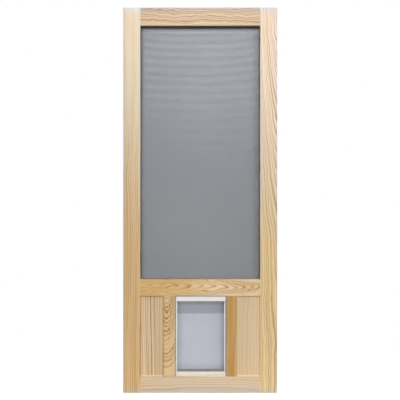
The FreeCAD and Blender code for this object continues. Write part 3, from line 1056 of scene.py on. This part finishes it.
def tube_faces(tubes: int, rings: int, sides: int, closed: bool = True) -> np.ndarray:
    """Faces of tubes whose vertices are numbered tube by tube, ring by ring, side by side.

    Each wall face joins side s and s+1 of ring r and r+1. Each end is closed by a fan of four-sided
    faces from side 0 to the sides k, k+1 and k+2, so the number of sides is even.

    Args:
        tubes: How many tubes there are.
        rings: Rings of vertices along each tube.
        sides: Vertices round each ring.
        closed: Whether the ends are closed.

    Returns:
        Four vertex numbers a row.
    """
    number = np.arange(tubes * rings * sides).reshape(tubes, rings, sides)
    near, far = number[:, :-1], number[:, 1:]
    walls = np.stack([near, far, np.roll(far, -1, 2), np.roll(near, -1, 2)], -1).reshape(-1, 4)
    if not closed:
        return walls
    odd = np.arange(1, sides - 2, 2)
    fan = np.stack([0 * odd, odd, odd + 1, odd + 2], -1)
    ends = [number[:, 0][:, fan], number[:, -1][:, fan[:, ::-1]]]
    return np.concatenate([walls, *(end.reshape(-1, 4) for end in ends)])


@dataclass
class Leaf:
    """The pine stiles, rails, mullions and panels, each with its own cut of the tree."""

    finishes: dict[str, PineFinish] = field(default_factory=lambda: {
        "hinge_stile": PineFinish(
            early=(0.765, 0.62, 0.42), late=(0.36, 0.19, 0.06), grain=Grain.UPRIGHT,
            pith=(0.22, 0.07), slant=-0.012, pitch=0.009, bolder=0.75, band=0.6, meander=0.05, curl=0.001,
            tint=(0.76, 0.48, 0.205), blotch=0.25, tint_along=Fade(0.50, -0.31, 0.8),
            grey_cast=(0.88, 1.10, 1.62), painted_shade=0.6, edge_shade=EdgeShade(0.10, 0.032), seed=1.7,
        ),
        "latch_stile": PineFinish(
            early=(0.815, 0.640, 0.462), late=(0.42, 0.23, 0.08), grain=Grain.UPRIGHT,
            pith=(0.060, 0.107), bow=0.037, crest=-0.75, pitch=0.0066, contrast=0.92, bolder=-0.05,
            group=0.012, fade=0.35, band=0.6, meander=0.05, curl=0.016, curl_size=0.032, streak=2.5,
            tint=(0.88, 0.63, 0.300), tint_along=Fade(0.35, -0.45, 0.8),
            grey_cast=(0.82, 0.97, 1.50), painted_shade=0.6, seed=4.1,
        ),
        "top_rail": PineFinish(
            early=(0.635, 0.45, 0.250), late=(0.32, 0.15, 0.05), grain=Grain.LEVEL,
            pith=(-0.16, 0.06), pitch=0.011, contrast=1.3, band=1.2, meander=0.06,
            curl=0.030, curl_size=0.045, painted_shade=0.65, seed=8.3,
        ),
        "lock_rail": PineFinish(
            early=(0.915, 0.690, 0.424), late=(0.46, 0.25, 0.07), grain=Grain.LEVEL,
            pith=(0.010, 0.014), lean=-0.05, bow=-0.04, crest=-0.20, pitch=0.0040, contrast=1.0,
            group=0.010, fade=0.3, band=1.5, meander=0.05, curl=0.034, curl_size=0.026, streak=4.0,
            tint=(0.80, 0.505, 0.205), blotch=0.45, tint_along=Fade(0.10, -0.12, 0.8),
            painted_shade=0.45, seed=2.9,
        ),
        "bottom_rail": PineFinish(
            early=(0.775, 0.595, 0.393), late=(0.46, 0.28, 0.13), grain=Grain.LEVEL,
            pith=(-0.20, 0.05), contrast=0.9, band=0.8, meander=0.05, curl=0.002, ledge_light=0.95, seed=6.6,
        ),
        "hinge_side_mullion": PineFinish(
            early=(0.80, 0.555, 0.280), late=(0.40, 0.19, 0.05), grain=Grain.UPRIGHT,
            pith=(-0.018, 0.055), lean=0.24, pitch=0.0058, contrast=1.3, bolder=-0.4,
            group=0.012, fade=0.25, band=1.2, meander=0.04, curl=0.036, curl_size=0.024, streak=1.0,
            edge_shade=EdgeShade(0.24, 0.012), seed=21.7,
        ),
        "latch_side_mullion": PineFinish(
            early=(0.67, 0.445, 0.185), late=(0.38, 0.18, 0.04), grain=Grain.UPRIGHT,
            pith=(0.06, 0.05), contrast=0.9, band=0.8, meander=0.04,
            tint=(0.54, 0.28, 0.065), blotch=0.55, tint_across=Fade(0.024, -0.004, 0.7),
            greyed_width=0.020, grey_cast=(0.96, 1.25, 2.6), seed=5.2,
        ),
        "hinge_side_panel": PineFinish(
            early=(0.82, 0.615, 0.385), late=(0.38, 0.20, 0.08), grain=Grain.UPRIGHT,
            pith=(0.30, 0.10), slant=0.010, pitch=0.0095, contrast=1.05, fade=0.5, band=0.8,
            meander=0.03, curl=0.004, curl_size=0.025,
            tint=(0.69, 0.51, 0.285), tint_across=Fade(0.0, 0.045, 0.7), edge_shade=EdgeShade(-0.6, 0.015), seed=9.4,
        ),
        "latch_side_panel": PineFinish(
            early=(0.77, 0.575, 0.355), late=(0.52, 0.34, 0.16), grain=Grain.UPRIGHT,
            pith=(0.25, 0.10), pitch=0.012, contrast=0.35, band=0.3, meander=0.04, curl=0.001,
            edge_shade=EdgeShade(-0.6, 0.015, Edge.LATCH_SIDE), seed=7.5,
        ),
    })

    def build(self) -> None:
        """Dresses each board; the boards themselves are the CAD nodes."""
        for node, finish in self.finishes.items():
            finish.dress(node)


@dataclass
class ScreenCloth:
    """The insect screen as woven yarn, and the spline that holds its edges."""

    warp_pitch: float = 1.27 * MILLIMETRE
    weft_pitch: float = 1.27 * MILLIMETRE
    weft_spans: int = 20
    yarn_width: float = 0.80 * MILLIMETRE
    yarn_thickness: float = 0.18 * MILLIMETRE
    slack: float = 0.03 * MILLIMETRE
    slack_length: float = 44.0 * MILLIMETRE
    slack_sway: float = 3.0
    slack_turn: float = 2.2
    rib_pitch: float = 3.0 * MILLIMETRE
    rib_height: float = 0.22 * MILLIMETRE
    rings_per_rib: int = 4
    spline_sides: int = 10
    spline_runs: tuple[str, ...] = ("hinge_side", "latch_side", "bottom", "top")
    yarn: ClothFinish = ClothFinish()
    vinyl: RubberFinish = RubberFinish("black_spline", (0.020, 0.020, 0.022), (0.055, 0.055, 0.055))

    def build(self) -> None:
        """Weaves the cloth and lays the spline."""
        self.weave()
        for run in self.spline_runs:
            self.spline(f"screen_spline_{run}")

    def section(self) -> np.ndarray:
        """The yarn's four corners as offsets across its run and through the cloth."""
        wide, deep = self.yarn_width / 2, self.yarn_thickness / 2
        return np.array([(-wide, deep), (wide, deep), (wide, -deep), (-wide, -deep)])

    def weave(self) -> None:
        """Makes every warp and weft yarn as a flat-sided tube.

        Warp yarn k stands at x = left + (k + 1/2) pitch. Weft yarn k lies at the level
        z + slack sin(2 pi z / length + sway sin(turn x)), with z = foot + (k + 1) pitch, so that the
        rows crowd and part a little, as in cloth that was drawn in by hand. Warps lie in the front
        half of the cloth's thickness and wefts in the back half.
        """
        low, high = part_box("insect_screen")
        corner = self.section()
        seat = low.y + self.yarn_thickness / 2
        warps = np.arange(low.x + self.warp_pitch / 2, high.x, self.warp_pitch)
        ends = np.array([low.z, high.z])
        warp = np.zeros((len(warps), len(ends), len(corner), 3))
        warp[..., 0] = warps[:, None, None] + corner[:, 0]
        warp[..., 1] = seat + corner[:, 1]
        warp[..., 2] = ends[None, :, None]

        wefts = np.arange(low.z + self.weft_pitch, high.z - self.weft_pitch, self.weft_pitch)
        runs = np.linspace(low.x, high.x, self.weft_spans + 1)
        sway = self.slack_sway * np.sin(self.slack_turn * runs)
        phase = 2 * np.pi * wefts[:, None] / self.slack_length + sway
        level = wefts[:, None] + self.slack * np.sin(phase)
        weft = np.zeros((len(wefts), len(runs), len(corner), 3))
        weft[..., 0] = runs[None, :, None]
        weft[..., 1] = seat + self.yarn_thickness + corner[::-1, 1]
        weft[..., 2] = level[..., None] + corner[::-1, 0]

        points = np.concatenate([warp.reshape(-1, 3), weft.reshape(-1, 3)])
        faces = np.concatenate([
            tube_faces(len(warps), len(ends), len(corner)),
            tube_faces(len(wefts), len(runs), len(corner)) + warp.size // 3,
        ])
        cloth = add_mesh("insect_screen_weave", points, faces)
        cloth.data.materials.append(self.yarn.material(Opening.for_screen()))
        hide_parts("insect_screen")
        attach(cloth, DOOR_BODY)
        log.info("%s: %d warps, %d wefts", cloth.name, len(warps), len(wefts))

    def spline(self, node: str) -> None:
        """Makes one length of ribbed spline in place of its plain CAD solid.

        The surface is a tube with closed ends. At the distance t from its middle, its radius is the CAD
        radius less the rib height times (1 + cos(2 pi t / pitch)) / 2.

        Args:
            node: The spline's CAD node.
        """
        low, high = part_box(node)
        size = np.array(high - low)
        axis = int(size.argmax())
        middle = (np.array(low) + np.array(high)) / 2
        radius = float(np.delete(size, axis).min()) / 2
        rings = int(size[axis] / self.rib_pitch) * self.rings_per_rib
        run = np.linspace(-size[axis] / 2, size[axis] / 2, rings)
        reach = radius - self.rib_height * (1 + np.cos(2 * np.pi * run / self.rib_pitch)) / 2
        angle = np.linspace(0, -2 * np.pi, self.spline_sides, endpoint=False)
        points = np.zeros((rings, self.spline_sides, 3))
        points[..., axis] = run[:, None]
        points[..., (axis + 1) % 3] = reach[:, None] * np.cos(angle)
        points[..., (axis + 2) % 3] = reach[:, None] * np.sin(angle)
        faces = tube_faces(1, rings, self.spline_sides)
        piece = add_mesh(f"{node}_ribbed", points + middle, faces, smooth=True)
        piece.data.materials.append(self.vinyl.material())
        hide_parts(node)
        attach(piece, DOOR_BODY)
        log.info("%s: %d rings", piece.name, rings)


@dataclass
class PetDoor:
    """The white frame with its jambs painted darker as shade, the rod, and the vinyl flap with its weight
    bar.
    """

    sheet_thickness: float = 2.4 * MILLIMETRE
    rod_bore: float = 2.58 * MILLIMETRE
    neck_drop: float = 14.0 * MILLIMETRE
    hem_drop: float = 60.0 * MILLIMETRE
    ripple: float = 0.9 * MILLIMETRE
    ripple_waves: int = 3
    stations: int = 72
    rise_points: int = 48
    neck_points: int = 9
    roll_points: int = 17
    hem_points: int = 8
    head_finish: MouldedPlasticFinish = MouldedPlasticFinish()
    # The sill is a darker, warmer copy of the white moulding.
    sill_finish: MouldedPlasticFinish = MouldedPlasticFinish(
        "darker_sill_moulding", colour=(0.80, 0.70, 0.60), soiled=(0.62, 0.52, 0.41)
    )
    # Painted shade: the jambs are the white moulding darkened as shade, the latch jamb more.
    hinge_jamb_finish: MouldedPlasticFinish = MouldedPlasticFinish(
        "hinge_jamb_shaded_moulding", colour=(0.44, 0.375, 0.29), soiled=(0.36, 0.29, 0.21)
    )
    latch_jamb_finish: MouldedPlasticFinish = MouldedPlasticFinish(
        "latch_jamb_shaded_moulding", colour=(0.31, 0.26, 0.205), soiled=(0.25, 0.20, 0.15)
    )
    rod_finish: DrawnSteelFinish = DrawnSteelFinish()
    bar_finish: RubberFinish = RubberFinish("dark_weight_bar", (0.22, 0.205, 0.195), (0.30, 0.285, 0.27))
    vinyl: VinylFinish = VinylFinish()

    def build(self) -> None:
        """Dresses the frame, rod and bar, and makes the flap."""
        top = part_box("pet_frame_head")[1].z
        dress_node("pet_frame_head", self.head_finish.material(top))
        dress_node("pet_frame_sill", self.sill_finish.material(top))
        dress_node("pet_frame_hinge_jamb", self.hinge_jamb_finish.material(top))
        dress_node("pet_frame_latch_jamb", self.latch_jamb_finish.material(top))
        dress_node("flap_pivot_rod", self.rod_finish.material())
        dress_node("flap_weight_bar", self.bar_finish.material())
        self.flap()

    def strip_line(self, drop: float) -> np.ndarray:
        """The middle line of the vinyl strip in the section, as depth and height from the rod.

        It rises from the foot, leans forward over the neck to touch the roll, follows the roll as half
        a circle over the rod, leans in again behind it and ends at the foot of the hem. The lean goes
        with (1 - cos) / 2 of the way up the neck.

        Args:
            drop: How far the foot lies below the rod.

        Returns:
            One row of depth and height for each point.
        """
        roll = self.rod_bore + self.sheet_thickness / 2
        back = self.sheet_thickness
        rise = np.linspace(-drop, -self.neck_drop, self.rise_points)
        turn = np.linspace(np.pi, 0.0, self.roll_points)
        neck = (1 - np.cos(np.linspace(0, np.pi, self.neck_points)[1:-1])) / 2
        lean = np.linspace(-self.neck_drop, 0.0, self.neck_points)[1:-1]
        hem = np.linspace(-self.neck_drop, -self.hem_drop, self.hem_points)
        depth = np.concatenate([
            np.zeros(len(rise)), -roll * neck, roll * np.cos(turn),
            roll + (back - roll) * neck, np.full(len(hem), back),
        ])
        height = np.concatenate([rise, lean, roll * np.sin(turn), lean[::-1], hem])
        return np.stack([depth, height], -1)

    def flap(self) -> None:
        """Makes the flap as the strip's section carried across the doorway.

        The section is the middle line moved half the thickness to each side. The sheet's depth at a
        point is that of the section plus ripple sin(pi u) sin(waves pi t) sin(pi t), with u across the
        flap and t from the hem down to the weight bar, so that it is flat at its ends.
        """
        low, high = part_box("pet_flap")
        rod_low, rod_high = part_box("flap_pivot_rod")
        pivot = (rod_low + rod_high) / 2
        drop = pivot.z - low.z
        line = self.strip_line(drop)
        slope = np.gradient(line, axis=0)
        slope /= np.linalg.norm(slope, axis=1, keepdims=True)
        side = np.stack([slope[:, 1], -slope[:, 0]], -1) * (self.sheet_thickness / 2)
        section = np.concatenate([line - side, (line + side)[::-1]])
        share = np.clip((-self.hem_drop - section[:, 1]) / (drop - self.hem_drop), 0.0, 1.0)
        wave = np.sin(self.ripple_waves * np.pi * share) * np.sin(np.pi * share)
        bow = np.sin(np.pi * np.linspace(0, 1, self.stations))
        points = np.zeros((self.stations, len(section), 3))
        points[..., 0] = np.linspace(low.x, high.x, self.stations)[:, None]
        points[..., 1] = pivot.y + section[None, :, 0] + self.ripple * bow[:, None] * wave[None, :]
        points[..., 2] = pivot.z + section[None, :, 1]

        walls = tube_faces(1, self.stations, len(section), closed=False)
        first = np.arange(len(line) - 1)
        cap = np.stack([first, first + 1, len(section) - 2 - first, len(section) - 1 - first], -1)
        last = cap[:, ::-1] + (self.stations - 1) * len(section)
        sheet = add_mesh("pet_flap_vinyl", points, np.concatenate([walls, cap, last]), smooth=True)
        sheet.data.materials.append(self.vinyl.material(low.x, high.x, low.z, pivot.z - self.hem_drop))
        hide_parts("pet_flap")
        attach(sheet, FLAP_BODY)


@dataclass(frozen=True)
class SoftLight:
    """A flat soft light that the camera doesn't see.

    Attributes:
        name: The light's name.
        place: Where it hangs, in metres.
        target: The point that it faces.
        size: Its width and height, in metres.
        power: Its power in watts.
        colour: Its colour.
    """

    name: str
    place: Point
    target: Point
    size: Span
    power: float
    colour: Colour = WHITE

    def hang(self) -> None:
        """Puts the light in the scene, turned to its target."""
        data = bpy.data.lights.new(self.name, "AREA")
        data.shape = "RECTANGLE"
        data.size, data.size_y = self.size
        data.energy = self.power
        data.color = self.colour
        lamp = bpy.data.objects.new(self.name, data)
        lamp.location = self.place
        lamp.visible_camera = False
        aim = Vector(self.target) - Vector(self.place)
        lamp.rotation_euler = aim.to_track_quat("-Z", "Y").to_euler()
        bpy.context.scene.collection.objects.link(lamp)


@dataclass
class Studio:
    """A pale floor, soft light from above, the front and behind, and the camera."""

    camera_distance: float = 1.40
    picture_width: float = 2.1098
    aim: Span = (-1.0 * MILLIMETRE, 1.1 * MILLIMETRE)
    sensor: float = 36.0
    floor_radius: float = 1.5
    floor_full_radius: float = 0.375
    floor_level: float = -0.5 * MILLIMETRE
    floor_rings: int = 24
    floor_spokes: int = 96
    floor_colour: Colour = (0.90, 0.90, 0.90)
    floor_rough: float = 0.9
    floor_gloss: float = 0.1
    floor_glow: float = 0.30
    floor_cover: float = 0.6
    backdrop: Colour = WHITE
    sky_light: float = 0.26
    ground_light: float = 0.06
    horizon: Span = (-0.25, 0.55)
    lights: tuple[SoftLight, ...] = (
        SoftLight("key", (0.75, -2.2, 2.90), (0.45, 0.0, 1.2), (2.6, 2.3), 47.0, (0.92, 0.98, 1.08)),
        SoftLight("fill", (0.60, -4.2, 4.2), (0.40, 0.0, 0.6), (3.2, 2.0), 88.0),
        SoftLight("top", (0.45, -1.0, 3.7), (0.40, -0.15, 0.0), (1.8, 1.0), 9.0),
        SoftLight("low", (0.40, -2.4, 0.40), (0.40, 0.0, 0.25), (2.4, 0.8), 9.5),
        SoftLight("rear hinge side", (-2.0, 2.4, 2.2), (0.30, 0.0, 1.0), (2.0, 2.0), 45.0),
        SoftLight("rear latch side", (2.8, 2.4, 2.2), (0.50, 0.0, 1.0), (2.0, 2.0), 45.0),
    )

    def build(self) -> None:
        """Sets up the floor, world, lights and camera."""
        self.floor()
        self.world()
        for light in self.lights:
            light.hang()
        self.camera()
        bpy.context.scene.view_settings.view_transform = "Standard"
        log.info("studio: floor, %d lights and camera", len(self.lights))

    def floor(self) -> None:
        """A round floor that fades out towards its rim, so that no edge shows.

        It is a grid of rings and spokes, at x = middle + r cos(angle) and y = r sin(angle).
        """
        low, high = CAD_BOX
        middle = (low.x + high.x) / 2
        reach = np.linspace(0.0, self.floor_radius, self.floor_rings)
        angle = np.linspace(0, 2 * np.pi, self.floor_spokes, endpoint=False)
        points = np.zeros((self.floor_rings, self.floor_spokes, 3))
        points[..., 0] = middle + reach[:, None] * np.cos(angle)
        points[..., 1] = reach[:, None] * np.sin(angle)
        points[..., 2] = self.floor_level
        faces = tube_faces(1, self.floor_rings, self.floor_spokes, closed=False)
        floor = add_mesh("studio_floor", points, faces)
        book = FinishBook("pale_floor")
        x, y, _ = book.place()
        side = x - middle
        distance = (side * side + y * y).root()
        floor.data.materials.append(book.finish(
            Base_Color=self.floor_colour,
            Roughness=self.floor_rough,
            Specular_IOR_Level=self.floor_gloss,
            Emission_Color=WHITE,
            Emission_Strength=self.floor_glow,
            Alpha=distance.ease(self.floor_radius, self.floor_full_radius) * self.floor_cover,
        ))

    def world(self) -> None:
        """A white surround to look at, and light that is strong above and weak below."""
        world = bpy.data.worlds.new("studio")
        world.use_nodes = True
        bpy.context.scene.world = world
        book = NodeBook(world.node_tree)
        out = next(node for node in book.tree.nodes if node.type == "OUTPUT_WORLD")
        direction = book.node("ShaderNodeTexCoord", output="Generated")
        above = book.split(direction, Axis.UP).ease(*self.horizon)
        strength = above * (self.sky_light - self.ground_light) + self.ground_light
        light = book.node("ShaderNodeBackground", sockets={"Color": WHITE, "Strength": strength})
        seen = book.node("ShaderNodeBackground", sockets={"Color": self.backdrop, "Strength": 1.0})
        camera_ray = book.node("ShaderNodeLightPath", output="Is Camera Ray")
        surround = book.node("ShaderNodeMixShader", sockets={0: camera_ray, 1: light, 2: seen})
        book.join(out.inputs["Surface"], surround)

    def camera(self) -> None:
        """A camera square to the middle of the leaf, with the picture's width on the front face."""
        low, high = CAD_BOX
        across, up = self.aim
        data = bpy.data.cameras.new("camera")
        data.sensor_fit = "HORIZONTAL"
        data.sensor_width = self.sensor
        data.lens = self.sensor * self.camera_distance / self.picture_width
        view = bpy.data.objects.new("camera", data)
        view.location = (
            (low.x + high.x) / 2 + across,
            low.y - self.camera_distance,
            (low.z + high.z) / 2 + up,
        )
        view.rotation_euler = (math.pi / 2, 0.0, 0.0)
        bpy.context.scene.collection.objects.link(view)
        bpy.context.scene.camera = view


def main() -> None:
    """Builds each sub-assembly and the studio, in order."""
    logging.basicConfig(level=logging.INFO, format="%(name)s: %(message)s")
    Leaf().build()
    ScreenCloth().build()
    PetDoor().build()
    Studio().build()


if __name__ == "__main__":
    main()
